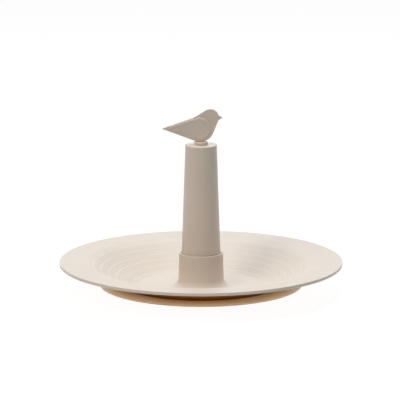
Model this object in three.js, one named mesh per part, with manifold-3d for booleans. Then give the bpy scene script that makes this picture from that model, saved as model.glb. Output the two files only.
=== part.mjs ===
import * as THREE from "three";
import { mergeVertices } from "three/addons/utils/BufferGeometryUtils.js";
import Module from "manifold-3d";

// Bird waterer: a stepped dish in a saucer base, with a column plugged into the dish's collar and a
// flat bird that turns on top. Millimetres, +Z up. The origin lies on the table, on the column's
// axis, and the bird faces +X. Heights stack up from the table: pads, base, dish, column, bird.

// Clearances
const SEAT_GAP = 0.3; // between a piece and what it rests on or fits in
const COLLAR_GAP = 0.5; // round the column in the mouth of the collar

// Foot pads, set in recesses under the base
const PAD_COUNT = 3;
const PAD_RADIUS = 9;
const PAD_EDGE_ROUND = 0.4;
const PAD_PROUD = 1; // how far the pads lift the base off the table
const PAD_RECESS = 0.9;
const PAD_MARGIN = 5.8; // from a pad to the edge of the base's foot

// Base, a saucer whose well takes the bottom of the dish
const BASE_FLOOR = 2.3;
const BASE_FOOT_INSET = 4; // from the corner of the well in to the edge of the foot
const BASE_FOOT_ROUND = 1.5;
const BASE_FLANGE_HEIGHT = 10.2; // top of the flange's rim above the table
const BASE_FLANGE_WIDTH = 22.4;
const BASE_FLANGE_FALL = 0.5; // from the seat ring out to the rim
const BASE_EDGE = 1.3; // thickness of the flange at its rim
const BASE_EDGE_ROUND = 0.55;

// Seat ring, a soft ring that cushions the dish, with its foot in a rebate of the base
const SEAT_WALL = 1.2;
const SEAT_TOP = 21.5; // above the table
const SEAT_FOOT = 1.5; // depth of the rebate

// Dish
const DISH_RADIUS = 150;
const DISH_DEPTH = 27.5; // from the rim down to the bowl's floor
const DISH_WALL = 2.2;
const DISH_FLOOR = 2.4;
const DISH_LIP_HEIGHT = 3.3; // of the face round the rim
const DISH_LIP_WIDTH = 2.4;
const DISH_RIM_ROUND = 0.6;
const DISH_UNDER_ROUND = 4;
const FLANGE_WIDTH = 31.65; // from the rim to where the slope of the bowl would meet the flange
const FLANGE_SLOPE_DEG = 1.5;
const BOWL_SLOPE_DEG = 28.4;
const BOWL_SHOULDER_RADIUS = 40;
const BOWL_FLOOR_ROUND = 6;

// Level ledges that ring the bowl
const LEDGE_COUNT = 8;
const LEDGE_START = 5.2; // along the slope, from the floor to the lowest ledge
const LEDGE_PITCH = 9.15;
const LEDGE_WIDTH = 1.2;

// Collar, a socket that stands on the dish's floor
const COLLAR_RISE = 9.2; // top of the collar above the rim
const COLLAR_WALL = 2.3;
const COLLAR_DRAFT_DEG = 1.4;
const COLLAR_LIP_ROUND = 0.5;
const COLLAR_FOOT_ROUND = 10;

// Column, a hollow taper whose foot is a straight spigot in the collar
const COLUMN_RISE = 116.6; // from the mouth of the collar to the top
const COLUMN_FOOT_RADIUS = 20.6;
const COLUMN_TOP_RADIUS = 16.7;
const COLUMN_WALL = 2.2;
const COLUMN_TOP_WALL = 2.6;
const COLUMN_TOP_ROUND = 0.8;
const COLUMN_INNER_ROUND = 1.5;
const COLUMN_FOOT_ROUND = 0.6;

// Grip ring in a groove round the spigot
const GRIP_HEIGHT = 9; // from the foot of the spigot to the middle of the groove
const GRIP_GROOVE_DEPTH = 1.1;

// Pivot that carries the bird: a disc with a flat tab above it and a split snap peg below
const DISC_RADIUS = 7.2;
const DISC_HEIGHT = 2.7;
const DISC_ROUND = 0.5;
const TAB_WIDTH = 6;
const TAB_THICKNESS = 1.2;
const TAB_LENGTH = 8;
const PEG_RADIUS = 3;
const PEG_SNAP_LIP = 0.8;
const PEG_SNAP_LENGTH = 4.5;
const PEG_TIP_RADIUS = 2.2;
const PEG_SLOT_WIDTH = 1.2;

// Bird, a flat plate with a raised wing on each face
const BIRD_THICKNESS = 3;
const BIRD_EDGE_ROUND = 0.4;
const BIRD_FOOT_FLAT = 0.4; // cut off the round belly where it sits on the disc
const BIRD_BODY_RADIUS = 14.9;
const BIRD_BODY_BEHIND = 1; // middle of the body behind the pivot
const BIRD_HEAD_RADIUS = 9.2;
const BIRD_HEAD_FORWARD = 10.6; // middle of the head from the middle of the body
const BIRD_HEAD_RISE = 11;
const BIRD_BEAK_LENGTH = 4.1;
const BIRD_BEAK_HALF_DEG = 17;
const BIRD_TAIL_LENGTH = 40.6; // tip of the tail from the middle of the body
const BIRD_TAIL_DROP = 0.9;
const BIRD_BACK_DEG = 19.3;
const BIRD_NAPE_DEG = 32.5;
const BIRD_NAPE_EASE = 3; // length of back and of nape in the bend between them
const WING_RADIUS = 11.2;
const WING_LENGTH = 32.8; // tip of the wing from the middle of the body
const WING_TIP_RISE = 0.7;
const WING_PROUD = 0.8;

// Fineness of the round shapes
const DISH_FACETS = 56;
const COLUMN_FACETS = 36;
const SMALL_FACETS = 20;
const RING_SECTION_FACETS = 8;
const ARC_STEP_DEG = 24;
const OUTLINE_STEP_DEG = 9;
const BEND_STEPS = 4;
const EDGE_STEPS = 2;
const WELD_DISTANCE = 1e-4;
const CUT_OVERSHOOT = 1; // how far a cutting tool stands out of the face that it cuts

const { degToRad } = THREE.MathUtils;
const ORIGIN = new THREE.Vector2();
const wasm = await Module();
wasm.setup();

// Merged vertices and no flat triangles, so that a turned shape closes along its seam and its poles.
function welded(geometry) {
  const bare = geometry.clone();
  bare.deleteAttribute("normal");
  bare.deleteAttribute("uv");
  const merged = mergeVertices(bare, WELD_DISTANCE);
  const corners = merged.index.array;
  const kept = [];
  for (let i = 0; i < corners.length; i += 3) {
    const [a, b, c] = corners.slice(i, i + 3);
    if (a !== b && b !== c && c !== a) kept.push(a, b, c);
  }
  merged.setIndex(kept);
  merged.computeVertexNormals();
  return merged;
}

function toSolid(geometry) {
  const closed = welded(geometry);
  return new wasm.Manifold(
    new wasm.Mesh({
      numProp: 3,
      vertProperties: new Float32Array(closed.attributes.position.array),
      triVerts: new Uint32Array(closed.index.array),
    }),
  );
}

function toGeometry(solid) {
  const mesh = solid.getMesh();
  const geometry = new THREE.BufferGeometry();
  geometry.setAttribute("position", new THREE.BufferAttribute(mesh.vertProperties, 3));
  geometry.setIndex(new THREE.BufferAttribute(mesh.triVerts, 1));
  geometry.computeVertexNormals();
  return geometry;
}

// Profile points from corners given as [radius, height, round], with an arc at each corner that has
// a round. A round too large for the sides that meet there is limited by the shorter one.
function profile(corners) {
  return corners.flatMap(([r, z, round], i) => {
    const here = new THREE.Vector2(r, z);
    if (!round) return [here];
    const back = new THREE.Vector2(...corners[i - 1].slice(0, 2)).sub(here);
    const on = new THREE.Vector2(...corners[i + 1].slice(0, 2)).sub(here);
    const room = Math.min(back.length(), on.length()) / 2;
    back.normalize();
    on.normalize();
    const half = Math.acos(THREE.MathUtils.clamp(back.dot(on), -1, 1)) / 2;
    const reach = Math.min(round / Math.tan(half), room);
    const start = here.clone().addScaledVector(back, reach);
    const towards = back.clone().add(on).normalize();
    const centre = here.clone().addScaledVector(towards, reach / Math.cos(half));
    const sweep = Math.sign(on.cross(back)) * (Math.PI - 2 * half);
    const steps = Math.ceil(Math.abs(sweep) / degToRad(ARC_STEP_DEG));
    return Array.from({ length: steps + 1 }, (_, k) =>
      start.clone().rotateAround(centre, (sweep * k) / steps),
    );
  });
}

// A solid turned about +Z from a profile that runs up its outside.
function turned(corners, facets) {
  const lathe = new THREE.LatheGeometry(profile(corners), facets);
  return welded(lathe.rotateX(Math.PI / 2));
}

// A plate in the XZ plane, centred on Y = 0, with its rim rounded inside the outline.
function plate(outline, thickness, round) {
  const extruded = new THREE.ExtrudeGeometry(outline, {
    depth: thickness - 2 * round,
    bevelThickness: round,
    bevelSize: round,
    bevelOffset: -round,
    bevelSegments: EDGE_STEPS,
  });
  extruded.translate(0, 0, round - thickness / 2);
  return welded(extruded.rotateX(Math.PI / 2));
}

function named(name, geometry, material) {
  const mesh = new THREE.Mesh(geometry, material);
  mesh.name = name;
  return mesh;
}

const sandPlastic = (roughness) =>
  new THREE.MeshStandardMaterial({ color: 0xe7dacc, roughness, metalness: 0 });
const brownPlastic = () =>
  new THREE.MeshStandardMaterial({ color: 0xbc956c, roughness: 0.6, metalness: 0 });
const brownRubber = () =>
  new THREE.MeshStandardMaterial({ color: 0xbc6f0d, roughness: 0.75, metalness: 0 });
const darkRubber = () =>
  new THREE.MeshStandardMaterial({ color: 0x2b2927, roughness: 0.9, metalness: 0 });

// The bowl's inner line climbs from the floor along a straight slope, eases over the shoulder and
// runs out along the flange. Heights here count from the underside of the dish's floor.
const bowlSlope = degToRad(BOWL_SLOPE_DEG);
const flangeSlope = degToRad(FLANGE_SLOPE_DEG);
const floorTop = DISH_FLOOR;
const rimTop = floorTop + DISH_DEPTH;
const mouth = new THREE.Vector2(
  DISH_RADIUS - FLANGE_WIDTH,
  rimTop - FLANGE_WIDTH * Math.tan(flangeSlope),
);
const floorRadius = mouth.x - (mouth.y - floorTop) / Math.tan(bowlSlope);
const shoulderTurn = bowlSlope - flangeSlope;
const shoulderReach = BOWL_SHOULDER_RADIUS * Math.tan(shoulderTurn / 2);
const slopeLength = (mouth.y - floorTop) / Math.sin(bowlSlope) - shoulderReach;
const shoulderLength = BOWL_SHOULDER_RADIUS * shoulderTurn;

// Point of the bowl's inner line at a distance along it from the floor.
function bowlPoint(distance) {
  const onSlope = Math.min(distance, slopeLength);
  const onShoulder = THREE.MathUtils.clamp(distance - slopeLength, 0, shoulderLength);
  const onFlange = Math.max(distance - slopeLength - shoulderLength, 0);
  const halfTurn = onShoulder / BOWL_SHOULDER_RADIUS / 2;
  const chord = 2 * BOWL_SHOULDER_RADIUS * Math.sin(halfTurn);
  const chordAngle = bowlSlope - halfTurn;
  const r =
    floorRadius +
    onSlope * Math.cos(bowlSlope) +
    chord * Math.cos(chordAngle) +
    onFlange * Math.cos(flangeSlope);
  const z =
    floorTop +
    onSlope * Math.sin(bowlSlope) +
    chord * Math.sin(chordAngle) +
    onFlange * Math.sin(flangeSlope);
  return [r, z];
}

// Ledges from the outermost one in to the floor, each cut level into the slope from its inner edge.
const ledges = Array.from({ length: LEDGE_COUNT }, (_, k) => {
  const [r, z] = bowlPoint(LEDGE_START + (LEDGE_COUNT - 1 - k) * LEDGE_PITCH);
  return [
    [r + LEDGE_WIDTH, z],
    [r, z],
  ];
}).flat();

// The underside follows the slope and the flange at the wall's thickness, out to the lip.
const underFloorRadius =
  floorRadius + (DISH_WALL / Math.cos(bowlSlope) - DISH_FLOOR) / Math.tan(bowlSlope);
const underMouthAngle = (bowlSlope + flangeSlope) / 2;
const underMouthOffset = DISH_WALL / Math.cos(shoulderTurn / 2);
const underMouth = [
  mouth.x + underMouthOffset * Math.sin(underMouthAngle),
  mouth.y - underMouthOffset * Math.cos(underMouthAngle),
];
const lipRadius = DISH_RADIUS - DISH_LIP_WIDTH;
const lipBottom = rimTop - DISH_LIP_HEIGHT;
const underFlange =
  rimTop - DISH_WALL / Math.cos(flangeSlope) - DISH_LIP_WIDTH * Math.tan(flangeSlope);

const collarTop = rimTop + COLLAR_RISE;
const collarBore = COLUMN_FOOT_RADIUS + COLLAR_GAP;
const collarTopRadius = collarBore + COLLAR_WALL;
const collarFootRadius =
  collarTopRadius + (collarTop - floorTop) * Math.tan(degToRad(COLLAR_DRAFT_DEG));

const dishGeometry = turned(
  [
    [0, 0],
    [underFloorRadius, 0, DISH_UNDER_ROUND],
    [...underMouth, BOWL_SHOULDER_RADIUS - DISH_WALL],
    [lipRadius, underFlange],
    [lipRadius, lipBottom],
    [DISH_RADIUS, lipBottom, DISH_RIM_ROUND],
    [DISH_RADIUS, rimTop, DISH_RIM_ROUND],
    ...ledges,
    [floorRadius, floorTop, BOWL_FLOOR_ROUND],
    [collarFootRadius, floorTop, COLLAR_FOOT_ROUND],
    [collarTopRadius, collarTop, COLLAR_LIP_ROUND],
    [collarBore, collarTop, COLLAR_LIP_ROUND],
    [collarBore, floorTop],
    [0, floorTop],
  ],
  DISH_FACETS,
);

// Base: its well and the seat ring follow the underside of the dish, lowered by the seat's gap
const wellFloor = PAD_PROUD + BASE_FLOOR;
const wellRadius = (height) => underFloorRadius + (height - wellFloor) / Math.tan(bowlSlope);
const seatOuter = (height) => wellRadius(height) + SEAT_WALL / Math.sin(bowlSlope);
const creaseHeight = BASE_FLANGE_HEIGHT + BASE_FLANGE_FALL;
const creaseRadius = seatOuter(creaseHeight);
const rebateFloor = creaseHeight - SEAT_FOOT;
const rebateRadius = creaseRadius + SEAT_GAP;
const baseRadius = creaseRadius + BASE_FLANGE_WIDTH;
const footRadius = underFloorRadius - BASE_FOOT_INSET;
const padCircle = footRadius - PAD_MARGIN - PAD_RADIUS;
const padPlaces = Array.from({ length: PAD_COUNT }, (_, k) => {
  const turn = (2 * Math.PI * k) / PAD_COUNT;
  return new THREE.Vector3(padCircle * Math.cos(turn), padCircle * Math.sin(turn), 0);
});

function baseGeometry() {
  const saucer = turned(
    [
      [0, PAD_PROUD],
      [footRadius, PAD_PROUD, BASE_FOOT_ROUND],
      [baseRadius, BASE_FLANGE_HEIGHT - BASE_EDGE, BASE_EDGE_ROUND],
      [baseRadius, BASE_FLANGE_HEIGHT, BASE_EDGE_ROUND],
      [rebateRadius, creaseHeight],
      [rebateRadius, rebateFloor],
      [wellRadius(rebateFloor), rebateFloor],
      [underFloorRadius, wellFloor],
      [0, wellFloor],
    ],
    DISH_FACETS,
  );
  const recess = turned(
    [
      [0, PAD_PROUD - CUT_OVERSHOOT],
      [PAD_RADIUS + SEAT_GAP, PAD_PROUD - CUT_OVERSHOOT],
      [PAD_RADIUS + SEAT_GAP, PAD_PROUD + PAD_RECESS],
      [0, PAD_PROUD + PAD_RECESS],
    ],
    SMALL_FACETS,
  );
  const cut = padPlaces.reduce(
    (solid, place) => solid.subtract(toSolid(recess.clone().translate(...place))),
    toSolid(saucer),
  );
  return toGeometry(cut);
}

const seatFoot = rebateFloor + SEAT_GAP;
const seatGeometry = turned(
  [
    [wellRadius(seatFoot), seatFoot],
    [creaseRadius, seatFoot],
    [creaseRadius, creaseHeight],
    [seatOuter(SEAT_TOP), SEAT_TOP],
    [wellRadius(SEAT_TOP), SEAT_TOP],
    [wellRadius(seatFoot), seatFoot],
  ],
  DISH_FACETS,
);

const padHeight = PAD_PROUD + PAD_RECESS - SEAT_GAP;
const padGeometry = turned(
  [
    [0, 0],
    [PAD_RADIUS, 0, PAD_EDGE_ROUND],
    [PAD_RADIUS, padHeight],
    [0, padHeight],
  ],
  SMALL_FACETS,
);

// Column: heights count from the foot of its spigot
const collarMouth = collarTop - floorTop - SEAT_GAP;
const columnHeight = collarMouth + COLUMN_RISE;
const columnCeiling = columnHeight - COLUMN_TOP_WALL;
const pegHole = PEG_RADIUS + SEAT_GAP;
const columnTaper = (COLUMN_FOOT_RADIUS - COLUMN_TOP_RADIUS) / COLUMN_RISE;
const boreTop = COLUMN_TOP_RADIUS + COLUMN_TOP_WALL * columnTaper - COLUMN_WALL;
const grooveRadius = COLUMN_FOOT_RADIUS - GRIP_GROOVE_DEPTH;
const gripInner = grooveRadius + SEAT_GAP;
const gripOuter = collarBore - SEAT_GAP;
const gripSection = (gripOuter - gripInner) / 2;
const grooveHalf = gripSection + SEAT_GAP;

const columnGeometry = turned(
  [
    [COLUMN_FOOT_RADIUS - COLUMN_WALL, 0],
    [COLUMN_FOOT_RADIUS, 0, COLUMN_FOOT_ROUND],
    [COLUMN_FOOT_RADIUS, GRIP_HEIGHT - grooveHalf],
    [grooveRadius, GRIP_HEIGHT - grooveHalf],
    [grooveRadius, GRIP_HEIGHT + grooveHalf],
    [COLUMN_FOOT_RADIUS, GRIP_HEIGHT + grooveHalf],
    [COLUMN_FOOT_RADIUS, collarMouth],
    [COLUMN_TOP_RADIUS, columnHeight, COLUMN_TOP_ROUND],
    [pegHole, columnHeight],
    [pegHole, columnCeiling],
    [boreTop, columnCeiling, COLUMN_INNER_ROUND],
    [COLUMN_FOOT_RADIUS - COLUMN_WALL, collarMouth],
    [COLUMN_FOOT_RADIUS - COLUMN_WALL, 0],
  ],
  COLUMN_FACETS,
);

const gripMiddle = (gripInner + gripOuter) / 2;
const gripGeometry = turned(
  Array.from({ length: RING_SECTION_FACETS + 1 }, (_, k) => {
    const turn = (2 * Math.PI * (k % RING_SECTION_FACETS)) / RING_SECTION_FACETS;
    return [gripMiddle + gripSection * Math.cos(turn), GRIP_HEIGHT + gripSection * Math.sin(turn)];
  }),
  COLUMN_FACETS,
);

// Pivot: heights count from the underside of its disc
function pivotGeometry() {
  const snapTop = -(COLUMN_TOP_WALL + 2 * SEAT_GAP);
  const pegEnd = snapTop - PEG_SNAP_LENGTH;
  const body = turned(
    [
      [0, pegEnd],
      [PEG_TIP_RADIUS, pegEnd],
      [PEG_RADIUS + PEG_SNAP_LIP, snapTop],
      [PEG_RADIUS, snapTop],
      [PEG_RADIUS, 0],
      [DISC_RADIUS, 0, DISC_ROUND],
      [DISC_RADIUS, DISC_HEIGHT, DISC_ROUND],
      [0, DISC_HEIGHT],
    ],
    SMALL_FACETS,
  );
  const tab = new THREE.BoxGeometry(TAB_WIDTH, TAB_THICKNESS, DISC_HEIGHT / 2 + TAB_LENGTH);
  tab.translate(0, 0, (DISC_HEIGHT * 1.5 + TAB_LENGTH) / 2);
  const slotSpan = 2 * (PEG_RADIUS + PEG_SNAP_LIP + CUT_OVERSHOOT);
  const slotHeight = snapTop - pegEnd + COLUMN_TOP_WALL + CUT_OVERSHOOT;
  const slot = new THREE.BoxGeometry(PEG_SLOT_WIDTH, slotSpan, slotHeight);
  slot.translate(0, 0, pegEnd - CUT_OVERSHOOT + slotHeight / 2);
  return toGeometry(toSolid(body).add(toSolid(tab)).subtract(toSolid(slot)));
}

// Bird: heights count from the flat under its belly, which sits on the disc
const bodyMiddle = new THREE.Vector2(-BIRD_BODY_BEHIND, BIRD_BODY_RADIUS - BIRD_FOOT_FLAT);
const headMiddle = bodyMiddle.clone().add(new THREE.Vector2(BIRD_HEAD_FORWARD, BIRD_HEAD_RISE));

function onCircle(middle, radius, angle) {
  return new THREE.Vector2(radius, 0).rotateAround(ORIGIN, angle).add(middle);
}

// Points anticlockwise round a circle from one angle to another.
function arc(middle, radius, from, to) {
  const sweep = THREE.MathUtils.euclideanModulo(to - from, 2 * Math.PI);
  const steps = Math.ceil(sweep / degToRad(OUTLINE_STEP_DEG));
  return Array.from({ length: steps + 1 }, (_, k) =>
    onCircle(middle, radius, from + (sweep * k) / steps),
  );
}

// Angle at which a line from a point touches a circle, on the side given by the sign.
function touchAngle(point, middle, radius, side) {
  const away = point.clone().sub(middle);
  return away.angle() + side * Math.acos(radius / away.length());
}

function birdOutline() {
  const tail = bodyMiddle.clone().add(new THREE.Vector2(-BIRD_TAIL_LENGTH, -BIRD_TAIL_DROP));
  const belly = touchAngle(tail, bodyMiddle, BIRD_BODY_RADIUS, 1);
  const foot = Math.acos(1 - BIRD_FOOT_FLAT / BIRD_BODY_RADIUS);
  const between = headMiddle.clone().sub(bodyMiddle);
  const narrowing = Math.asin((BIRD_BODY_RADIUS - BIRD_HEAD_RADIUS) / between.length());
  const touch = between.angle() + narrowing - Math.PI / 2;
  const beak = degToRad(BIRD_BEAK_HALF_DEG);
  // The chest's line touches the body and the head. A body so full that the line would touch the
  // head in front of the beak's root takes it to that root.
  const root = onCircle(headMiddle, BIRD_HEAD_RADIUS, -beak);
  const full = touch > -beak;
  const chest = full ? touchAngle(root, bodyMiddle, BIRD_BODY_RADIUS, -1) : touch;
  const throat = full ? [root] : arc(headMiddle, BIRD_HEAD_RADIUS, touch, -beak);
  const crown = degToRad(90 + BIRD_NAPE_DEG);
  const backWay = new THREE.Vector2(1, 0).rotateAround(ORIGIN, degToRad(BIRD_BACK_DEG));
  const napeWay = new THREE.Vector2(1, 0).rotateAround(ORIGIN, degToRad(BIRD_NAPE_DEG));
  const crownPoint = onCircle(headMiddle, BIRD_HEAD_RADIUS, crown);
  // The back and the nape meet where the back's line from the tail crosses the nape's.
  const span = crownPoint.clone().sub(tail);
  const bend = tail.clone().addScaledVector(backWay, span.cross(napeWay) / backWay.cross(napeWay));
  const bendStart = bend.clone().addScaledVector(backWay, -BIRD_NAPE_EASE);
  const bendEnd = bend.clone().addScaledVector(napeWay, BIRD_NAPE_EASE);

  const down = -Math.PI / 2;
  return new THREE.Shape([
    tail,
    ...arc(bodyMiddle, BIRD_BODY_RADIUS, belly, down - foot),
    ...arc(bodyMiddle, BIRD_BODY_RADIUS, down + foot, chest),
    ...throat,
    headMiddle.clone().add(new THREE.Vector2(BIRD_HEAD_RADIUS + BIRD_BEAK_LENGTH, 0)),
    ...arc(headMiddle, BIRD_HEAD_RADIUS, beak, crown),
    ...new THREE.QuadraticBezierCurve(bendEnd, bend, bendStart).getPoints(BEND_STEPS),
  ]);
}

function wingOutline() {
  const tip = bodyMiddle.clone().add(new THREE.Vector2(-WING_LENGTH, WING_TIP_RISE));
  const lower = touchAngle(tip, bodyMiddle, WING_RADIUS, 1);
  const upper = touchAngle(tip, bodyMiddle, WING_RADIUS, -1);
  return new THREE.Shape([tip, ...arc(bodyMiddle, WING_RADIUS, lower, upper)]);
}

function birdGeometry() {
  const body = toSolid(plate(birdOutline(), BIRD_THICKNESS, BIRD_EDGE_ROUND));
  const wings = toSolid(plate(wingOutline(), BIRD_THICKNESS + 2 * WING_PROUD, WING_PROUD));
  const tabHole = new THREE.BoxGeometry(
    TAB_WIDTH + 2 * SEAT_GAP,
    TAB_THICKNESS + 2 * SEAT_GAP,
    TAB_LENGTH + CUT_OVERSHOOT,
  );
  tabHole.translate(0, 0, (TAB_LENGTH - CUT_OVERSHOOT) / 2);
  return toGeometry(body.add(wings).subtract(toSolid(tabHole)));
}

// Assembly: each group stands on the one that carries it
const base = new THREE.Group();
base.add(named("base_saucer", baseGeometry(), brownPlastic()));
base.add(named("seat_ring", seatGeometry, brownRubber()));
padPlaces.forEach((place, k) => {
  const pad = named(`foot_pad_${k + 1}`, padGeometry.clone(), darkRubber());
  pad.position.copy(place);
  base.add(pad);
});

const dish = new THREE.Group();
dish.position.z = wellFloor + SEAT_GAP;
dish.add(named("dish", dishGeometry, sandPlastic(0.5)));
base.add(dish);

const column = new THREE.Group();
column.position.z = floorTop + SEAT_GAP;
column.add(named("column", columnGeometry, sandPlastic(0.5)));
column.add(named("column_grip_ring", gripGeometry, darkRubber()));
dish.add(column);

const bird = new THREE.Group();
bird.position.z = columnHeight + SEAT_GAP;
bird.add(named("bird_pivot", pivotGeometry(), sandPlastic(0.45)));
const birdPlate = named("bird", birdGeometry(), sandPlastic(0.55));
birdPlate.position.z = DISC_HEIGHT + SEAT_GAP;
bird.add(birdPlate);
column.add(bird);

const birdWaterer = new THREE.Group();
birdWaterer.name = "bird_waterer";
birdWaterer.add(base);

export default birdWaterer;
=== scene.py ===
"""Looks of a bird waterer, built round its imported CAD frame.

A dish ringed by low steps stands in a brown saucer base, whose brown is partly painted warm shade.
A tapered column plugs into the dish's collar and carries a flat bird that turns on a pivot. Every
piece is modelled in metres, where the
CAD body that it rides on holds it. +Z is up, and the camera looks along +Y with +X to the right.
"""

import logging
import math
from abc import ABC, abstractmethod
from collections.abc import Sequence
from dataclasses import dataclass, field
from enum import Enum
from typing import ClassVar, NamedTuple

import bpy
from mathutils import Matrix, Vector

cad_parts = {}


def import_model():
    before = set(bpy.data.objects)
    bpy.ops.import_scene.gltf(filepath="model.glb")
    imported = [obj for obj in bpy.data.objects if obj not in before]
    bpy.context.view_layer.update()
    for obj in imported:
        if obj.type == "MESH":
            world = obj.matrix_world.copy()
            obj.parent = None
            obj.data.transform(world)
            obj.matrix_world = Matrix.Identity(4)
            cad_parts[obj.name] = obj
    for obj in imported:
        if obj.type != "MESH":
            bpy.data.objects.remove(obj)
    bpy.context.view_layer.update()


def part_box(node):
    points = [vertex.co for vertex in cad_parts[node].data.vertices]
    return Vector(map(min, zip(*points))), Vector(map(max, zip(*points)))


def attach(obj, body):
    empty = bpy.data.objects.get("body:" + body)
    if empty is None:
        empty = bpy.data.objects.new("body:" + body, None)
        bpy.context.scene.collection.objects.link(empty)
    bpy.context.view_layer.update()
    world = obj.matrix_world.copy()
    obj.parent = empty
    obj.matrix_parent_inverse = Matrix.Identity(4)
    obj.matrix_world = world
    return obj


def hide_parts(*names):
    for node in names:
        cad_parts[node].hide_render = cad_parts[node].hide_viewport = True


log = logging.getLogger("bird_waterer")

MM = 0.001
IMAGE_SIDE = 400  # pixels of the square picture

# Fineness of the meshes
WELD = 2e-6
SEED_SIZE = 1 * MM
ARC_STEP = math.radians(9)
ARC_LEAST = 2  # steps of the shortest arc
SHARP_ANGLE = math.radians(32)
FLAT_ANGLE = math.radians(1)

Colour = tuple[float, float, float]
Source = bpy.types.NodeSocket | float | Sequence[float]


class Body(Enum):
    """CAD bodies that pieces ride on."""

    BASE = "base"
    DISH = "dish"
    COLUMN = "column"
    BIRD = "bird"


class Slot(Enum):
    """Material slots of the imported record."""

    SAND = "sand_plastic"
    BROWN = "brown_base"
    SEAL = "brown_rubber"
    RUBBER = "dark_rubber"


class Fusion(Enum):
    """Ways in which a tool changes a piece."""

    ADD = "UNION"
    CUT = "DIFFERENCE"


class Corner(NamedTuple):
    """Corner of a half section: its radius, its height and the round that eases it."""

    radius: float
    height: float
    round: float = 0.0

    @property
    def place(self) -> Vector:
        """The corner in the XZ plane."""
        return Vector((self.radius, 0, self.height))


def turned_about(point: Vector, centre: Vector, angle: float) -> Vector:
    """Turns a point of the XZ plane about a centre by an angle from +X towards +Z."""
    return centre + Matrix.Rotation(-angle, 3, "Y") @ (point - centre)


def eased(corners: Sequence[Corner]) -> list[Vector]:
    """Puts an arc in place of each rounded corner.

    Args:
        corners: Corners in order. The first and the last one are sharp.

    Returns:
        Points of the section in the XZ plane.
    """
    points = []
    for index, corner in enumerate(corners):
        here = corner.place
        if not corner.round:
            points.append(here)
            continue
        back = corners[index - 1].place - here
        onward = corners[index + 1].place - here
        half = back.angle(onward) / 2
        reach = min(corner.round / math.tan(half), back.length / 2, onward.length / 2)
        start = here + back.normalized() * reach
        middle = (back.normalized() + onward.normalized()).normalized()
        centre = here + middle * (reach / math.cos(half))
        side = back.normalized().cross(onward.normalized()).y
        sweep = math.copysign(math.pi - 2 * half, side)
        steps = max(ARC_LEAST, math.ceil(abs(sweep) / ARC_STEP))
        points += [turned_about(start, centre, sweep * k / steps) for k in range(steps + 1)]
    return points


def select_only(piece: bpy.types.Object) -> None:
    """Makes one object the only selected one, and the active one.

    Args:
        piece: Object to select.
    """
    bpy.ops.object.select_all(action="DESELECT")
    piece.select_set(True)
    bpy.context.view_layer.objects.active = piece


def draw_chain(name: str, points: Sequence[Vector]) -> bpy.types.Object:
    """Draws a chain of edges, and leaves it in edit mode.

    A plane is collapsed to one vertex, which is then extruded from point to point.

    Args:
        name: Name of the new object.
        points: Points of the chain.

    Returns:
        The new object, at the origin.
    """
    bpy.ops.object.select_all(action="DESELECT")
    bpy.ops.mesh.primitive_plane_add(size=SEED_SIZE)
    piece = bpy.context.object
    piece.name = name
    piece.data.name = name
    bpy.context.tool_settings.mesh_select_mode = (True, False, False)
    bpy.ops.object.mode_set(mode="EDIT")
    bpy.ops.mesh.select_all(action="SELECT")
    bpy.ops.mesh.merge(type="CENTER")
    bpy.ops.transform.translate(value=points[0])
    for here, there in zip(points, points[1:]):
        bpy.ops.mesh.extrude_region_move(TRANSFORM_OT_translate={"value": there - here})
    return piece


def close_mesh() -> None:
    """Merges the doubles of the edited mesh, turns its faces outwards and leaves edit mode."""
    bpy.ops.mesh.select_all(action="SELECT")
    bpy.ops.mesh.remove_doubles(threshold=WELD)
    bpy.ops.mesh.normals_make_consistent(inside=False)
    bpy.ops.object.mode_set(mode="OBJECT")


def spin_solid(name: str, corners: Sequence[Corner], facets: int) -> bpy.types.Object:
    """Turns a half section about the Z axis into a closed solid.

    Args:
        name: Name of the new object.
        corners: Half section, which starts and ends on the axis or closes on itself.
        facets: Number of facets round the axis.

    Returns:
        The new object.
    """
    piece = draw_chain(name, eased(corners))
    bpy.ops.mesh.select_all(action="SELECT")
    bpy.ops.mesh.spin(steps=facets, angle=math.tau, center=(0, 0, 0), axis=(0, 0, 1))
    close_mesh()
    return piece


def shift_to(piece: bpy.types.Object, place: Vector) -> None:
    """Moves a piece from the origin, and keeps its own origin there.

    Args:
        piece: Object to move.
        place: Where its middle goes.
    """
    select_only(piece)
    bpy.ops.transform.translate(value=place)
    bpy.ops.object.transform_apply()


def plate_solid(
    name: str, outline: Sequence[Vector], thickness: float, bevel: float, segments: int
) -> bpy.types.Object:
    """Makes an upright plate, centred on the XZ plane, with both rims bevelled.

    Args:
        name: Name of the new object.
        outline: Points round the plate in the XZ plane.
        thickness: Thickness along Y.
        bevel: Width of the round along the rims.
        segments: Number of faces across the round.

    Returns:
        The new object.
    """
    piece = draw_chain(name, outline)
    bpy.ops.mesh.select_all(action="SELECT")
    bpy.ops.mesh.edge_face_add()
    bpy.ops.transform.translate(value=(0, -thickness / 2, 0))
    bpy.ops.mesh.extrude_region_move(TRANSFORM_OT_translate={"value": (0, thickness, 0)})
    close_mesh()
    select_flat_faces(piece, Vector((0, 1, 0)))
    bpy.ops.object.mode_set(mode="EDIT")
    bpy.ops.mesh.region_to_loop()
    bpy.ops.mesh.bevel(offset=bevel, segments=segments, affect="EDGES", clamp_overlap=False)
    close_mesh()
    return piece


def block(width: float, thickness: float, low: float, high: float) -> bpy.types.Object:
    """Makes a block that stands on the Z axis.

    Args:
        width: Size along X.
        thickness: Size along Y.
        low: Height of its underside.
        high: Height of its top.

    Returns:
        The new object.
    """
    bpy.ops.object.select_all(action="DESELECT")
    bpy.ops.mesh.primitive_cube_add(
        size=1, location=(0, 0, (low + high) / 2), scale=(width, thickness, high - low)
    )
    bpy.ops.object.transform_apply()
    return bpy.context.object


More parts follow.
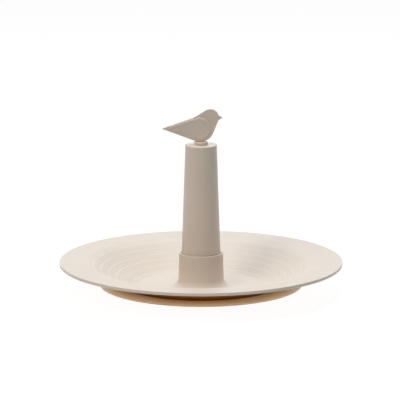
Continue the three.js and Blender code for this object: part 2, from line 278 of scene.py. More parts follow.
def select_flat_faces(piece: bpy.types.Object, axis: Vector) -> None:
    """Selects the faces that lie square to an axis, ready for edit mode.

    Args:
        piece: Object, in object mode.
        axis: Unit vector along the faces' normals, either way round.
    """
    select_only(piece)
    bpy.context.tool_settings.mesh_select_mode = (False, False, True)
    for element in (*piece.data.vertices, *piece.data.edges):
        element.select = False
    for face in piece.data.polygons:
        face.select = abs(face.normal.dot(axis)) > math.cos(FLAT_ANGLE)


def apply_modifier(piece: bpy.types.Object, kind: str, **settings: object) -> None:
    """Adds a modifier to a piece and applies it.

    Args:
        piece: Object to change.
        kind: Blender's name of the modifier.
        **settings: Values of the modifier's properties.
    """
    select_only(piece)
    bpy.ops.object.modifier_add(type=kind)
    modifier = piece.modifiers[-1]
    for key, value in settings.items():
        setattr(modifier, key, value)
    bpy.ops.object.modifier_apply(modifier=modifier.name)


def fuse(piece: bpy.types.Object, tool: bpy.types.Object, way: Fusion) -> None:
    """Adds a closed tool to a piece or cuts it out, and removes the tool."""
    apply_modifier(piece, "BOOLEAN", object=tool, operation=way.value, solver="EXACT")
    bpy.data.objects.remove(tool)


def smooth(piece: bpy.types.Object) -> None:
    """Shades a piece smooth over its rounds and keeps its flat faces flat.

    Args:
        piece: Object to shade.
    """
    select_only(piece)
    bpy.ops.object.shade_smooth_by_angle(angle=SHARP_ANGLE)
    apply_modifier(piece, "WEIGHTED_NORMAL", keep_sharp=True)


class Board:
    """Node tree, with short calls for the nodes that the looks use."""

    def __init__(self, tree: bpy.types.NodeTree) -> None:
        """Takes a node tree."""
        self.tree = tree

    @property
    def place(self) -> bpy.types.NodeSocket:
        """Place of the shaded point, in metres."""
        return self.add("TexCoord").outputs["Object"]

    def feed(self, node: bpy.types.Node, *ordered: Source, **named: Source) -> None:
        """Links or sets the inputs of a node.

        Args:
            node: Node to feed.
            *ordered: Sockets or constants for its first inputs.
            **named: Sockets or constants for its other inputs, with _ for a space in a name.
        """
        pairs = [*zip(node.inputs, ordered)]
        pairs += [(node.inputs[name.replace("_", " ")], value) for name, value in named.items()]
        for target, value in pairs:
            if isinstance(value, bpy.types.NodeSocket):
                self.tree.links.new(value, target)
            else:
                target.default_value = value

    def shader(self, **named: Source) -> None:
        """Feeds the material's own shader."""
        self.feed(self.tree.nodes["Principled BSDF"], **named)

    def add(self, kind: str, *ordered: Source, **named: Source) -> bpy.types.Node:
        """Adds a node and feeds it.

        Args:
            kind: Kind of node.
            *ordered: Sockets or constants for its first inputs.
            **named: Sockets or constants for its other inputs.

        Returns:
            The node.
        """
        node = self.tree.nodes.new("ShaderNode" + kind)
        self.feed(node, *ordered, **named)
        return node

    def compute(self, kind: str, operation: str, *ordered: Source) -> bpy.types.Node:
        """Adds a node that computes with its inputs.

        Args:
            kind: Kind of node.
            operation: What it computes.
            *ordered: Sockets or constants for its inputs.

        Returns:
            The node.
        """
        node = self.add(kind, *ordered)
        node.operation = operation
        return node

    def noise(self, size: float, detail: float) -> bpy.types.NodeSocket:
        """Adds a noise, from 0 to 1, with spots of a rough size and some finer layers."""
        node = self.add("TexNoise", Vector=self.place, Scale=1 / size, Detail=detail)
        return node.outputs["Fac"]

    def ramp(
        self, value: bpy.types.NodeSocket, low: Colour, high: Colour, spread: tuple[float, float]
    ) -> bpy.types.NodeSocket:
        """Turns a value into a colour between two shades.

        Args:
            value: Value to turn.
            low: Colour at the low end of the spread.
            high: Colour at the high end of the spread.
            spread: Values that get the two colours.

        Returns:
            The colour.
        """
        node = self.add("ValToRGB", Fac=value)
        for stop, position, colour in zip(node.color_ramp.elements, spread, (low, high)):
            stop.position = position
            stop.color = (*colour, 1)
        return node.outputs["Color"]

    def axis_distance(self) -> bpy.types.NodeSocket:
        """Adds the distance from the Z axis, in metres."""
        level = self.compute("VectorMath", "MULTIPLY", self.place, (1, 1, 0))
        return self.compute("VectorMath", "LENGTH", level.outputs["Vector"]).outputs["Value"]

    def seen(self) -> bpy.types.NodeSocket:
        """Adds a switch that is on for what the camera, gloss or glass sees.

        Returns:
            1 for those rays and 0 for the rest.
        """
        rays = self.add("LightPath").outputs
        total = rays["Is Camera Ray"]
        for name in ("Is Glossy Ray", "Is Transmission Ray"):
            total = self.compute("Math", "MAXIMUM", total, rays[name]).outputs["Value"]
        return total

    def span(
        self,
        value: bpy.types.NodeSocket,
        low: float,
        high: float,
        between: tuple[float, float] = (0, 1),
    ) -> bpy.types.NodeSocket:
        """Maps a value that lies between two others onto the range from low to high."""
        node = self.add("MapRange", value, *between, low, high)
        return node.outputs["Result"]

    def bump(
        self, height: bpy.types.NodeSocket, depth: float, **under: bpy.types.NodeSocket
    ) -> bpy.types.NodeSocket:
        """Turns a height from 0 to 1 into a normal, which may lie on that of a coarser bump."""
        node = self.add("Bump", Height=height, Distance=depth, **under)
        return node.outputs["Normal"]


@dataclass(frozen=True)
class Finish(ABC):
    """Look of a surface."""

    name: str
    slot: Slot
    colour: Colour
    roughness: float

    def material(self) -> bpy.types.Material:
        """Gives the finish's material, made once.

        Returns:
            The material.
        """
        found = bpy.data.materials.get(self.name)
        if found:
            return found
        material = bpy.data.materials.new(self.name)
        material.use_nodes = True
        self.wire(Board(material.node_tree))
        return material

    def shade(self, share: float) -> Colour:
        """Gives the finish's colour, lightened or darkened by a share."""
        return tuple(channel * (1 + share) for channel in self.colour)

    @abstractmethod
    def wire(self, board: Board) -> None:
        """Adds the finish's nodes to a board."""


@dataclass(frozen=True)
class MouldedPlastic(Finish):
    """Plastic with the fine matt grain of a spark-eroded mould."""

    tone_size: float = 45 * MM
    tone_share: float = 0.02
    tone_spread: tuple[float, float] = (0.3, 0.7)
    fleck_size: float = 1.1 * MM
    roughness_spread: float = 0.07
    grain_size: float = 0.55 * MM
    grain_depth: float = 0.012 * MM
    wave_size: float = 18 * MM
    wave_depth: float = 0.03 * MM

    def wire(self, board: Board) -> None:
        """Adds a soft drift of tone, a fine grain and a slight waviness.

        Args:
            board: Board of the material.
        """
        drift = board.noise(self.tone_size, detail=3)
        dark = self.shade(-self.tone_share)
        light = self.shade(self.tone_share)
        tone = board.ramp(drift, dark, light, self.tone_spread)
        fleck = board.noise(self.fleck_size, detail=2)
        low = self.roughness - self.roughness_spread
        high = self.roughness + self.roughness_spread
        waves = board.bump(board.noise(self.wave_size, detail=1), self.wave_depth)
        grain = board.bump(board.noise(self.grain_size, detail=2), self.grain_depth, Normal=waves)
        board.shader(Base_Color=tone, Roughness=board.span(fleck, low, high), Normal=grain)


@dataclass(frozen=True)
class ThinRimPlastic(MouldedPlastic):
    """Moulded plastic that lets light through where it thins out towards its rim."""

    through_share: float = 0.9
    through_reach: float = 60 * MM
    through_tint: Colour = (1.0, 0.83, 0.66)
    through_radii: tuple[float, float] = (78 * MM, 86 * MM)

    def wire(self, board: Board) -> None:
        """Adds light from within, from the solid middle out to the thin rim.

        Args:
            board: Board of the material.
        """
        super().wire(board)
        share = board.span(board.axis_distance(), 0, self.through_share, self.through_radii)
        board.shader(
            Subsurface_Weight=share,
            Subsurface_Scale=self.through_reach,
            Subsurface_Radius=self.through_tint,
        )


@dataclass(frozen=True)
class SoftRubber(Finish):
    """Matt rubber with a dusty bloom."""

    bloom_size: float = 6 * MM
    bloom_share: float = 0.5
    bloom_spread: tuple[float, float] = (0.4, 0.75)
    pore_size: float = 0.4 * MM
    pore_depth: float = 0.02 * MM

    def wire(self, board: Board) -> None:
        """Adds a patchy bloom and fine pores.

        Args:
            board: Board of the material.
        """
        patches = board.noise(self.bloom_size, detail=4)
        tone = board.ramp(patches, self.colour, self.shade(self.bloom_share), self.bloom_spread)
        pores = board.bump(board.noise(self.pore_size, detail=2), self.pore_depth)
        board.shader(Base_Color=tone, Roughness=self.roughness, Normal=pores)


SAND = MouldedPlastic("sand_moulding", Slot.SAND, (0.8, 0.7, 0.605), 0.38)
# The saucer's caramel brown is partly its own colour and partly painted warm shade, set so that its
# flange shows the brown of the shade under the dish's overhang.
BROWN = ThinRimPlastic("caramel_painted_shade_moulding", Slot.BROWN, (0.5, 0.3, 0.15), 0.55)
# The seat ring's dark orange-brown is painted deep shade: it gives the crevice between the dish and
# the saucer the darkness of the shade that falls there.
SEAL = SoftRubber("seat_rubber_painted_shade", Slot.SEAL, (0.5, 0.16, 0.004), 0.85, bloom_share=0.1)
RUBBER = SoftRubber("pad_rubber", Slot.RUBBER, (0.028, 0.026, 0.024), 0.85)


@dataclass
class SubAssembly(ABC):
    """Pieces that ride on one CAD body."""

    body: ClassVar[Body]

    @abstractmethod
    def build(self) -> None:
        """Models the pieces."""

    @abstractmethod
    def dress(self) -> None:
        """Gives the pieces their finishes and their places in the frame."""

    def seat(self, piece: bpy.types.Object, node: str, finish: Finish) -> None:
        """Dresses a piece and lets it stand for a CAD node.

        Args:
            piece: Finished object.
            node: CAD node that it stands for.
            finish: Look of its surface.
        """
        smooth(piece)
        piece.data.materials.clear()
        piece.data.materials.append(finish.material())
        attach(piece, self.body.value)
        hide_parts(node)
        log.info("%s rides on %s, %d faces", piece.name, self.body.value, len(piece.data.polygons))


@dataclass
class Base(SubAssembly):
    """Brown saucer that takes the bottom of the dish, its soft seat ring and its foot pads; its
    brown is partly painted warm shade.
    """

    body: ClassVar[Body] = Body.BASE

    radius: float
    underside: float
    seat_foot: float
    seat_top: float
    well_radius: float
    well_slope: float
    floor: float = 2.3 * MM
    flange_top: float = 10.2 * MM
    flange_fall: float = 0.5 * MM
    gap: float = 0.3 * MM
    seat_wall: float = 1.2 * MM
    seat_round: float = 0.4 * MM
    foot_inset: float = 4 * MM
    foot_round: float = 1.5 * MM
    edge: float = 1.3 * MM
    edge_round: float = 0.55 * MM
    rebate_round: float = 0.2 * MM
    well_round: float = 0.5 * MM
    pad_nodes: tuple[str, ...] = ("foot_pad_1", "foot_pad_2", "foot_pad_3")
    pad_round: float = 0.4 * MM
    facets: int = 240
    pad_facets: int = 72
    saucer: bpy.types.Object = field(init=False)
    seat_ring: bpy.types.Object = field(init=False)
    pads: list[bpy.types.Object] = field(init=False, default_factory=list)

    @classmethod
    def from_frame(cls, dish: "Dish") -> "Base":
        """Takes the sizes of the saucer and its ring from the CAD, and the well from the dish.

        Args:
            dish: Dish that stands in the well.

        Returns:
            The base.
        """
        low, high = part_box("base_saucer")
        seat_low, seat_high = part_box("seat_ring")
        return cls(
            radius=high.x,
            underside=low.z,
            seat_foot=seat_low.z,
            seat_top=seat_high.z,
            well_radius=dish.under_floor_radius,
            well_slope=dish.bowl_slope,
        )

    @property
    def well_floor(self) -> float:
        """Height of the floor of the well."""
        return self.underside + self.floor

    @property
    def crease(self) -> Corner:
        """Where the ring's outer face meets the flange."""
        height = self.flange_top + self.flange_fall
        return Corner(self.seat_outer(height), height)

    def well_at(self, height: float) -> float:
        """Radius of the sloping well, which the ring carries on, at a height."""
        return self.well_radius + (height - self.well_floor) / math.tan(self.well_slope)

    def seat_outer(self, height: float) -> float:
        """Radius of the ring's outer face at a height."""
        return self.well_at(height) + self.seat_wall / math.sin(self.well_slope)

    def section(self) -> list[Corner]:
        """Half section of the saucer.

        Returns:
            Its corners, from the middle of the underside to the middle of the well.
        """
        rebate_radius = self.crease.radius + self.gap
        rebate_floor = self.seat_foot - self.gap
        return [
            Corner(0, self.underside),
            Corner(self.well_radius - self.foot_inset, self.underside, self.foot_round),
            Corner(self.radius, self.flange_top - self.edge, self.edge_round),
            Corner(self.radius, self.flange_top, self.edge_round),
            Corner(rebate_radius, self.crease.height, self.rebate_round),
            Corner(rebate_radius, rebate_floor),
            Corner(self.well_at(rebate_floor), rebate_floor, self.rebate_round),
            Corner(self.well_radius, self.well_floor, self.well_round),
            Corner(0, self.well_floor),
        ]

    def seat_section(self) -> list[Corner]:
        """Half section of the seat ring.

        Returns:
            Its corners, up the outside from the foot and down the inside.
        """
        inner_foot = Corner(self.well_at(self.seat_foot), self.seat_foot)
        return [
            inner_foot,
            Corner(self.crease.radius, self.seat_foot),
            self.crease,
            Corner(self.seat_outer(self.seat_top), self.seat_top, self.seat_round),
            Corner(self.well_at(self.seat_top), self.seat_top, self.seat_round),
            inner_foot,
        ]

    @staticmethod
    def pad_section(radius: float, low: float, high: float, easing: float) -> list[Corner]:
        """Half section of a pad with a round lower edge, or of the recess that takes it."""
        return [Corner(0, low), Corner(radius, low, easing), Corner(radius, high), Corner(0, high)]

    def build(self) -> None:
        """Turns the saucer and the ring, cuts the pads' recesses and turns the pads."""
        self.saucer = spin_solid("saucer", self.section(), self.facets)
        self.seat_ring = spin_solid("seat_cushion", self.seat_section(), self.facets)
        for node in self.pad_nodes:
            low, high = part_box(node)
            centre = (low + high) / 2
            shift = Vector((centre.x, centre.y, 0))
            radius = (high.x - low.x) / 2
            hollow = self.pad_section(radius + self.gap, low.z, high.z + self.gap, 0)
            recess = spin_solid("recess", hollow, self.pad_facets)
            shift_to(recess, shift)
            fuse(self.saucer, recess, Fusion.CUT)
            pad = spin_solid(
                node.replace("foot_pad", "pad"),
                self.pad_section(radius, low.z, high.z, self.pad_round),
                self.pad_facets,
            )
            shift_to(pad, shift)
            self.pads.append(pad)

    def dress(self) -> None:
        """Gives the saucer its plastic, and the ring and the pads their rubber."""
        # The saucer's caramel brown is partly painted warm shade.
        self.seat(self.saucer, "base_saucer", BROWN)
        # The ring's dark orange-brown rubber is painted deep shade under the dish.
        self.seat(self.seat_ring, "seat_ring", SEAL)
        for pad, node in zip(self.pads, self.pad_nodes):
            self.seat(pad, node, RUBBER)


@dataclass
class Dish(SubAssembly):
    """Dish with a flat flange, a bowl ringed by ledges and a collar on its floor."""

    body: ClassVar[Body] = Body.DISH

    radius: float
    underside: float
    top: float
    collar_bore: float = 21.1 * MM
    depth: float = 27.5 * MM
    wall: float = 2.2 * MM
    floor: float = 2.4 * MM
    lip_height: float = 3.3 * MM
    lip_width: float = 2.4 * MM
    rim_round: float = 0.6 * MM
    under_round: float = 4 * MM
    flange_width: float = 31.65 * MM
    flange_slope: float = math.radians(1.5)
    bowl_slope: float = math.radians(28.4)
    shoulder_radius: float = 40 * MM
    floor_round: float = 6 * MM
    ledge_count: int = 8
    ledge_start: float = 5.2 * MM
    ledge_pitch: float = 9.15 * MM
    ledge_width: float = 1.2 * MM
    ledge_least: float = 0.2 * MM
    ledge_round: float = 0.3 * MM
    riser_points: int = 4
    collar_wall: float = 2.3 * MM
    collar_draft: float = math.radians(1.4)
    collar_round: float = 0.5 * MM
    collar_foot_round: float = 10 * MM
    facets: int = 240
    shell: bpy.types.Object = field(init=False)

    @classmethod
    def from_frame(cls) -> "Dish":
        """Takes the dish's size from its CAD node."""
        low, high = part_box("dish")
        return cls(high.x, low.z, high.z)

    @property
    def floor_top(self) -> float:
        """Height of the bowl's floor."""
        return self.underside + self.floor

    @property
    def rim(self) -> float:
        """Height of the rim."""
        return self.floor_top + self.depth

    @property
    def mouth(self) -> Corner:
        """Where the lines of the bowl's slope and of the flange meet."""
        drop = self.flange_width * math.tan(self.flange_slope)
        return Corner(self.radius - self.flange_width, self.rim - drop)

    @property
    def floor_radius(self) -> float:
        """Radius where the bowl's slope meets the floor."""
        rise = self.mouth.height - self.floor_top
        return self.mouth.radius - rise / math.tan(self.bowl_slope)

    @property
    def under_floor_radius(self) -> float:
        """Radius of the flat underside."""
        lead = self.wall / math.cos(self.bowl_slope) - self.floor
        return self.floor_radius + lead / math.tan(self.bowl_slope)

    @property
    def slope_length(self) -> float:
        """Length of the straight slope, from the floor to the shoulder."""
        reach = self.shoulder_radius * math.tan((self.bowl_slope - self.flange_slope) / 2)
        return (self.mouth.height - self.floor_top) / math.sin(self.bowl_slope) - reach

    @property
    def shoulder_length(self) -> float:
        """Length of the curved shoulder."""
        return self.shoulder_radius * (self.bowl_slope - self.flange_slope)

    def bowl_point(self, distance: float, sunk: float = 0.0) -> Corner:
        """Finds a point on the bowl's inner line, which climbs from the floor to the flange.

        Args:
            distance: Distance along the line from the floor.
            sunk: Depth of the point below the line, square to it.

        Returns:
            The point.
        """
        on_slope = min(distance, self.slope_length)
        angle = self.bowl_angle(distance)
        turn = self.bowl_slope - angle
        on_flange = max(distance - self.slope_length - self.shoulder_length, 0)
        chord = 2 * self.shoulder_radius * math.sin(turn / 2)
        chord_angle = self.bowl_slope - turn / 2
        across = on_slope * math.cos(self.bowl_slope) + chord * math.cos(chord_angle)
        across += on_flange * math.cos(self.flange_slope)
        upward = on_slope * math.sin(self.bowl_slope) + chord * math.sin(chord_angle)
        upward += on_flange * math.sin(self.flange_slope)
        return Corner(
            self.floor_radius + across + sunk * math.sin(angle),
            self.floor_top + upward - sunk * math.cos(angle),
        )

    def bowl_angle(self, distance: float) -> float:
        """Slope of the bowl's inner line at a distance from the floor."""
        turn = max(distance - self.slope_length, 0) / self.shoulder_radius
        return max(self.bowl_slope - turn, self.flange_slope)

    def ledges(self) -> list[Corner]:
        """Steps of the bowl, from the flange in to the lowest ledge.

        Returns:
            For each step a curved riser and a level ledge below it.
        """
        corners = []
        upper = self.ledge_start + self.ledge_count * self.ledge_pitch
        for index in reversed(range(self.ledge_count)):
            edge = self.ledge_start + index * self.ledge_pitch
            angle = self.bowl_angle(edge)
            foot = edge + self.ledge_width * math.cos(angle)
            sunk = max(self.ledge_width * math.sin(angle), self.ledge_least)
            for point in range(self.riser_points):
                share = point / self.riser_points
                corners.append(self.bowl_point(upper + (foot - upper) * share, sunk * share))
            corners.append(self.bowl_point(foot, sunk)._replace(round=self.ledge_round))
            corners.append(self.bowl_point(edge)._replace(round=self.ledge_round))
            upper = edge - self.ledge_round
        return corners

    def section(self) -> list[Corner]:
        """Half section of the dish.

        Returns:
            Its corners, from the middle of the underside round the rim to the middle of the socket.
        """
        mouth_turn = self.bowl_slope - self.flange_slope
        mouth_angle = (self.bowl_slope + self.flange_slope) / 2
        offset = self.wall / math.cos(mouth_turn / 2)
        lip_radius = self.radius - self.lip_width
        lip_bottom = self.rim - self.lip_height
        under_flange = self.rim - self.wall / math.cos(self.flange_slope)
        under_flange -= self.lip_width * math.tan(self.flange_slope)
        collar_top_radius = self.collar_bore + self.collar_wall
        collar_height = self.top - self.floor_top
        collar_foot_radius = collar_top_radius + collar_height * math.tan(self.collar_draft)
        return [
            Corner(0, self.underside),
            Corner(self.under_floor_radius, self.underside, self.under_round),
            Corner(
                self.mouth.radius + offset * math.sin(mouth_angle),
                self.mouth.height - offset * math.cos(mouth_angle),
                self.shoulder_radius - self.wall,
            ),
            Corner(lip_radius, under_flange),
            Corner(lip_radius, lip_bottom),
            Corner(self.radius, lip_bottom, self.rim_round),
            Corner(self.radius, self.rim, self.rim_round),
            *self.ledges(),
            Corner(self.floor_radius, self.floor_top, self.floor_round),
            Corner(collar_foot_radius, self.floor_top, self.collar_foot_round),
            Corner(collar_top_radius, self.top, self.collar_round),
            Corner(self.collar_bore, self.top, self.collar_round),
            Corner(self.collar_bore, self.floor_top),
            Corner(0, self.floor_top),
        ]

    def build(self) -> None:
        """Turns the dish."""
        self.shell = spin_solid("dish_moulding", self.section(), self.facets)

    def dress(self) -> None:
        """Gives the dish its plastic."""
        self.seat(self.shell, "dish", SAND)


@dataclass
class Column(SubAssembly):
    """Hollow tapered column on a straight spigot, and the grip ring in the spigot's groove."""

    body: ClassVar[Body] = Body.COLUMN

    foot_radius: float
    foot: float
    mouth: float
    top: float
    ring_inner: float
    ring_outer: float
    ring_low: float
    ring_high: float
    top_radius: float = 16.7 * MM
    wall: float = 2.2 * MM
    top_wall: float = 2.6 * MM
    top_round: float = 0.8 * MM
    inner_round: float = 1.5 * MM
    foot_round: float = 0.6 * MM
    peg_hole: float = 3.3 * MM
    groove_gap: float = 0.3 * MM
    ring_steps: int = 20
    facets: int = 180
    shell: bpy.types.Object = field(init=False)
    ring: bpy.types.Object = field(init=False)

    @classmethod
    def from_frame(cls, dish: Dish) -> "Column":
        """Takes the column's size from its CAD nodes, and the end of its spigot from the collar.

        Args:
            dish: Dish whose collar holds the column.

        Returns:
            The column.
        """
        low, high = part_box("column")
        ring_low, ring_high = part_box("column_grip_ring")
        ring_thickness = ring_high.z - ring_low.z
        return cls(
            foot_radius=high.x,
            foot=low.z,
            mouth=dish.top,
            top=high.z,
            ring_inner=ring_high.x - ring_thickness,
            ring_outer=ring_high.x,
            ring_low=ring_low.z,
            ring_high=ring_high.z,
        )

    def section(self) -> list[Corner]:
        """Half section of the column.

        Returns:
            Its corners, up the outside from the foot and down the bore.
        """
        taper = (self.foot_radius - self.top_radius) / (self.top - self.mouth)
        bore = self.foot_radius - self.wall
        bore_top = self.top_radius + self.top_wall * taper - self.wall
        groove = self.ring_inner - self.groove_gap
        groove_low = self.ring_low - self.groove_gap
        groove_high = self.ring_high + self.groove_gap
        return [
            Corner(bore, self.foot),
            Corner(self.foot_radius, self.foot, self.foot_round),
            Corner(self.foot_radius, groove_low),
            Corner(groove, groove_low),
            Corner(groove, groove_high),
            Corner(self.foot_radius, groove_high),
            Corner(self.foot_radius, self.mouth),
            Corner(self.top_radius, self.top, self.top_round),
            Corner(self.peg_hole, self.top),
            Corner(self.peg_hole, self.top - self.top_wall),
            Corner(bore_top, self.top - self.top_wall, self.inner_round),
            Corner(bore, self.mouth),
            Corner(bore, self.foot),
        ]

    def ring_section(self) -> list[Corner]:
        """Half section of the grip ring.

        Returns:
            Points round its circular section, closed.
        """
        radius = (self.ring_inner + self.ring_outer) / 2
        height = (self.ring_low + self.ring_high) / 2
        middle = Vector((radius, 0, height))
        start = Vector((self.ring_outer, 0, height))
        turns = [math.tau * k / self.ring_steps for k in range(self.ring_steps)]
        points = [turned_about(start, middle, turn) for turn in (*turns, 0)]
        return [Corner(point.x, point.z) for point in points]

    def build(self) -> None:
        """Turns the column and its grip ring."""
        self.shell = spin_solid("column_moulding", self.section(), self.facets)
        self.ring = spin_solid("grip_ring", self.ring_section(), self.facets)

    def dress(self) -> None:
        """Gives the column its plastic and the ring its rubber."""
        self.seat(self.shell, "column", SAND)
        self.seat(self.ring, "column_grip_ring", RUBBER)


@dataclass
class Bird(SubAssembly):
    """Flat bird with a raised wing on each face, and the pivot that it turns on."""

    body: ClassVar[Body] = Body.BIRD

    foot: float
    disc_low: float
    disc_radius: float
    peg_end: float
    tab_top: float
    thickness: float = 3 * MM
    edge_round: float = 0.4 * MM
    foot_flat: float = 0.4 * MM
    body_radius: float = 14.9 * MM
    body_behind: float = 1 * MM
    head_radius: float = 9.2 * MM
    head_forward: float = 10.6 * MM
    head_rise: float = 11 * MM
    beak_length: float = 4.1 * MM
    beak_half: float = math.radians(17)
    tail_length: float = 40.6 * MM
    tail_drop: float = 0.9 * MM
    back_slope: float = math.radians(19.3)
    nape_slope: float = math.radians(32.5)
    nape_ease: float = 3 * MM
    nape_steps: int = 8
    wing_radius: float = 11.2 * MM
    wing_length: float = 32.8 * MM
    wing_tip_rise: float = 0.7 * MM
    wing_proud: float = 0.8 * MM
    wing_rim: float = 1.3 * MM
    wing_dish: float = 0.5 * MM
    outline_step: float = math.radians(4)
    bevel_segments: int = 4
    disc_height: float = 2.7 * MM
    disc_round: float = 0.5 * MM
    tab_width: float = 6 * MM
    tab_thickness: float = 1.2 * MM
    gap: float = 0.3 * MM
    peg_radius: float = 3 * MM
    snap_lip: float = 0.8 * MM
    snap_length: float = 4.5 * MM
    peg_tip_radius: float = 2.2 * MM
    slot_width: float = 1.2 * MM
    slot_end: float = 1 * MM
    facets: int = 96
    plate: bpy.types.Object = field(init=False)
    pivot: bpy.types.Object = field(init=False)

    @classmethod
    def from_frame(cls) -> "Bird":
        """Takes the bird's place and the pivot's length from their CAD nodes.

        Returns:
            The bird.
        """
        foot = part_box("bird")[0].z
        low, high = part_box("bird_pivot")
        disc_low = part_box("column")[1].z + cls.gap
        return cls(foot, disc_low, high.x, low.z, high.z)

    @property
    def body_middle(self) -> Vector:
        """Middle of the round body."""
        return Vector((-self.body_behind, 0, self.foot + self.body_radius - self.foot_flat))

    @property
    def head_middle(self) -> Vector:
        """Middle of the round head."""
        return self.body_middle + Vector((self.head_forward, 0, self.head_rise))

    def arc(self, centre: Vector, radius: float, start: float, stop: float) -> list[Vector]:
        """Goes round part of a circle, from +X towards +Z.

        Args:
            centre: Middle of the circle.
            radius: Radius of the circle.
            start: Angle of the first point.
            stop: Angle of the last point.

        Returns:
            Points along the arc.
        """
        sweep = (stop - start) % math.tau
        steps = math.ceil(sweep / self.outline_step)
        rim = centre + Vector((radius, 0, 0))
        return [turned_about(rim, centre, start + sweep * k / steps) for k in range(steps + 1)]

    @staticmethod
    def heading(way: Vector) -> float:
        """Angle of a direction in the XZ plane, from +X towards +Z."""
        return math.atan2(way.z, way.x)

    def touch(self, point: Vector, radius: float, side: int) -> float:
        """Angle where a line from a point touches a circle round the body, below at side 1."""
        away = point - self.body_middle
        return self.heading(away) + side * math.acos(radius / away.length)

    def outline(self) -> list[Vector]:
        """Outline of the bird: tail, belly, chest, beak, crown, nape and back.

        Returns:
            Points round it, closed.
        """
        tail = self.body_middle + Vector((-self.tail_length, 0, -self.tail_drop))
        under = self.touch(tail, self.body_radius, 1)
        down = -math.pi / 2
        foot = math.acos(1 - self.foot_flat / self.body_radius)
        between = self.head_middle - self.body_middle
        narrowing = math.asin((self.body_radius - self.head_radius) / between.length)
        chest = self.heading(between) + narrowing - math.pi / 2
        crown = math.pi / 2 + self.nape_slope
        beak = self.head_middle + Vector((self.head_radius + self.beak_length, 0, 0))
        return [
            tail,
            *self.arc(self.body_middle, self.body_radius, under, down - foot),
            *self.arc(self.body_middle, self.body_radius, down + foot, chest),
            *self.arc(self.head_middle, self.head_radius, chest, -self.beak_half)[1:],
            beak,
            *self.arc(self.head_middle, self.head_radius, self.beak_half, crown),
            *self.nape(tail, crown),
            tail,
        ]

    def nape(self, tail: Vector, crown: float) -> list[Vector]:
        """Eases the nape into the back, where their lines cross.

        Args:
            tail: Tip of the tail, where the back's line starts.
            crown: Angle on the head where the nape's line starts.

        Returns:
            Points from the nape to the back.
        """
        back = Vector((math.cos(self.back_slope), 0, math.sin(self.back_slope)))
        nape = Vector((math.cos(self.nape_slope), 0, math.sin(self.nape_slope)))
        brow = self.head_middle + Vector((self.head_radius, 0, 0))
        span = turned_about(brow, self.head_middle, crown) - tail
        bend = tail + back * (span.cross(nape).y / back.cross(nape).y)
        start = bend + nape * self.nape_ease
        stop = bend - back * self.nape_ease
        shares = [k / self.nape_steps for k in range(self.nape_steps + 1)]
        return [start * (1 - t) ** 2 + bend * (2 * t * (1 - t)) + stop * t**2 for t in shares]

    def wing_outline(self) -> list[Vector]:
        """Outline of the wing: a point behind and a round front.

        Returns:
            Points round it, closed.
        """
        tip = self.body_middle + Vector((-self.wing_length, 0, self.wing_tip_rise))
        lower = self.touch(tip, self.wing_radius, 1)
        upper = self.touch(tip, self.wing_radius, -1)
        return [tip, *self.arc(self.body_middle, self.wing_radius, lower, upper), tip]

    def pivot_section(self) -> list[Corner]:
        """Half section of the pivot.

        Returns:
            Its corners, from the end of the snap peg to the top of the disc.
        """
        snap = self.peg_end + self.snap_length
        disc_high = self.disc_low + self.disc_height
        return [
            Corner(0, self.peg_end),
            Corner(self.peg_tip_radius, self.peg_end),
            Corner(self.peg_radius + self.snap_lip, snap),
            Corner(self.peg_radius, snap),
            Corner(self.peg_radius, self.disc_low),
            Corner(self.disc_radius, self.disc_low, self.disc_round),
            Corner(self.disc_radius, disc_high, self.disc_round),
            Corner(0, disc_high),
        ]

    def build(self) -> None:
        """Models the plate with its wings and slot, and the pivot with its tab and split peg."""
        self.plate = plate_solid(
            "bird_plate", self.outline(), self.thickness, self.edge_round, self.bevel_segments
        )
        wings = plate_solid(
            "wings",
            self.wing_outline(),
            self.thickness + 2 * self.wing_proud,
            self.wing_proud,
            self.bevel_segments,
        )
        select_flat_faces(wings, Vector((0, 1, 0)))
        bpy.ops.object.mode_set(mode="EDIT")
        bpy.ops.mesh.inset(thickness=self.wing_rim, depth=-self.wing_dish)
        bpy.ops.object.mode_set(mode="OBJECT")
        fuse(self.plate, wings, Fusion.ADD)
        disc_middle = self.disc_low + self.disc_height / 2
        hole_width = self.tab_width + 2 * self.gap
        hole_thickness = self.tab_thickness + 2 * self.gap
        hole = block(hole_width, hole_thickness, disc_middle, self.tab_top + self.gap)
        fuse(self.plate, hole, Fusion.CUT)
        self.pivot = spin_solid("pivot", self.pivot_section(), self.facets)
        tab = block(self.tab_width, self.tab_thickness, disc_middle, self.tab_top)
        fuse(self.pivot, tab, Fusion.ADD)
        split_top = self.disc_low - self.slot_end
        split = block(self.slot_width, self.disc_radius, self.peg_end - self.slot_end, split_top)
        fuse(self.pivot, split, Fusion.CUT)

    def dress(self) -> None:
        """Gives the plate and the pivot their plastic."""
        self.seat(self.plate, "bird", SAND)
        self.seat(self.pivot, "bird_pivot", SAND)


def grey(level: float) -> tuple[float, float, float, float]:
    """Gives a grey as red, green, blue and cover."""
    return (level, level, level, 1)


@dataclass(frozen=True)
class Softbox:
    """Square soft light, placed by angles round the object."""

    name: str
    azimuth: float  # degrees from the camera's side, positive to the right
    elevation: float  # degrees above the floor
    side: float  # metres
    power: float  # watts
    tint: Colour
    distance: float = 1.8  # metres

    def hang(self, target: Vector) -> None:
        """Adds the light.

        Args:
            target: Point that it faces.
        """
        turn = math.radians(self.azimuth)
        tilt = math.radians(self.elevation)
        across = math.cos(tilt)
        way = Vector((math.sin(turn) * across, -math.cos(turn) * across, math.sin(tilt)))
        bpy.ops.object.light_add(type="AREA", location=target + way * self.distance)
        lamp = bpy.context.object
        lamp.name = self.name
        lamp.data.size = self.side
        lamp.data.energy = self.power
        lamp.data.color = self.tint
        lamp.rotation_euler = (-way).to_track_quat("-Z", "Y").to_euler()


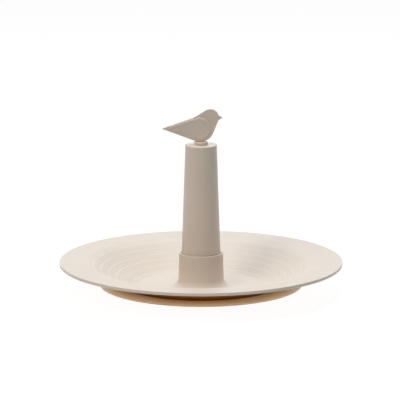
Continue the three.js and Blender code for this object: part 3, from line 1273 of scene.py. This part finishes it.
@dataclass
class Studio:
    """White studio: a floor, a white surround, soft lights and the camera."""

    rim: float
    floor_side: float = 30.0  # metres
    floor_white: float = 0.8
    glow: float = 0.95
    shadow_share: float = 0.12
    bounce: float = 0.35
    bounce_reach: tuple[float, float] = (0.14, 0.2)  # metres from the axis
    boxes: tuple[Softbox, ...] = (
        Softbox("key", -41, 47, 0.45, 5.8, (1, 0.92, 0.84)),
        Softbox("left_fill", -60, 30, 1.0, 2.5, (1, 0.83, 0.64)),
        Softbox("right_back", 120, 40, 1.2, 2.9, (1, 0.82, 0.6)),
        Softbox("overhead", 0, 88, 0.6, 16.4, (0.94, 0.97, 1)),
        Softbox("back_panel", 180, 62, 1.4, 12.5, (0.79, 0.9, 1)),
    )
    camera_distance: float = 4.0  # metres
    camera_elevation: float = math.radians(12.8)
    focal_pixels: float = 3768.0
    sensor: float = 36.0  # millimetres
    sight: float = 100.0  # metres
    rim_right_of_centre: float = 1.05  # pixels from the picture's centre to the rim's middle
    rim_below_centre: float = 60.75

    def lay_floor(self) -> None:
        """Lays a floor that looks white, keeps a faint shadow and lights the dish from below."""
        bpy.ops.object.select_all(action="DESELECT")
        bpy.ops.mesh.primitive_plane_add(size=self.floor_side)
        floor = bpy.context.object
        floor.name = "floor"
        paint = bpy.data.materials.new("studio_floor")
        paint.use_nodes = True
        paint.cycles.emission_sampling = "NONE"
        paint.node_tree.nodes.clear()
        board = Board(paint.node_tree)
        plain = board.add("BsdfDiffuse", Color=grey(self.floor_white))
        near = board.span(board.axis_distance(), self.bounce, 0, self.bounce_reach)
        bounce = board.add("Emission", Strength=near)
        unseen = board.add("AddShader", plain.outputs["BSDF"], bounce.outputs["Emission"])
        glow = board.add("Emission", Strength=self.glow)
        shade = board.add("BsdfDiffuse", Color=grey(self.shadow_share))
        seen = board.add("AddShader", glow.outputs["Emission"], shade.outputs["BSDF"])
        layers = (unseen.outputs["Shader"], seen.outputs["Shader"])
        mix = board.add("MixShader", board.seen(), *layers)
        board.add("OutputMaterial", Surface=mix.outputs["Shader"])
        floor.data.materials.append(paint)

    def light_surround(self) -> None:
        """Surrounds the object with white that only the camera, gloss and glass see."""
        world = bpy.data.worlds.new("studio")
        bpy.context.scene.world = world
        world.use_nodes = True
        world.node_tree.nodes.clear()
        board = Board(world.node_tree)
        white = board.add("Background", Color=grey(1), Strength=board.seen())
        board.add("OutputWorld", Surface=white.outputs["Background"])

    def set_camera(self) -> None:
        """Puts the camera at the photograph's viewing angle."""
        middle = Vector((0, 0, self.rim))
        back = Vector((0, -math.cos(self.camera_elevation), math.sin(self.camera_elevation)))
        side = Vector((-self.rim_right_of_centre * self.camera_distance / self.focal_pixels, 0, 0))
        dip = self.camera_elevation - math.atan(self.rim_below_centre / self.focal_pixels)
        bpy.ops.object.camera_add(
            location=middle + back * self.camera_distance + side,
            rotation=(math.pi / 2 - dip, 0, 0),
        )
        camera = bpy.context.object
        camera.data.sensor_width = self.sensor
        camera.data.lens = self.sensor * self.focal_pixels / IMAGE_SIDE
        camera.data.clip_end = self.sight
        bpy.context.scene.camera = camera

    def set_up(self) -> None:
        """Sets up the floor, the lights, the camera and plain colour handling."""
        self.lay_floor()
        self.light_surround()
        for box in self.boxes:
            box.hang(Vector((0, 0, self.rim)))
        self.set_camera()
        bpy.context.scene.view_settings.view_transform = "Standard"


def main() -> None:
    """Builds every sub-assembly round the frame, and the studio round them."""
    logging.basicConfig(level=logging.INFO, format="%(message)s")
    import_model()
    dish = Dish.from_frame()
    for part in (Base.from_frame(dish), dish, Column.from_frame(dish), Bird.from_frame()):
        part.build()
        part.dress()
    Studio(dish.rim).set_up()


if __name__ == "__main__":
    main()
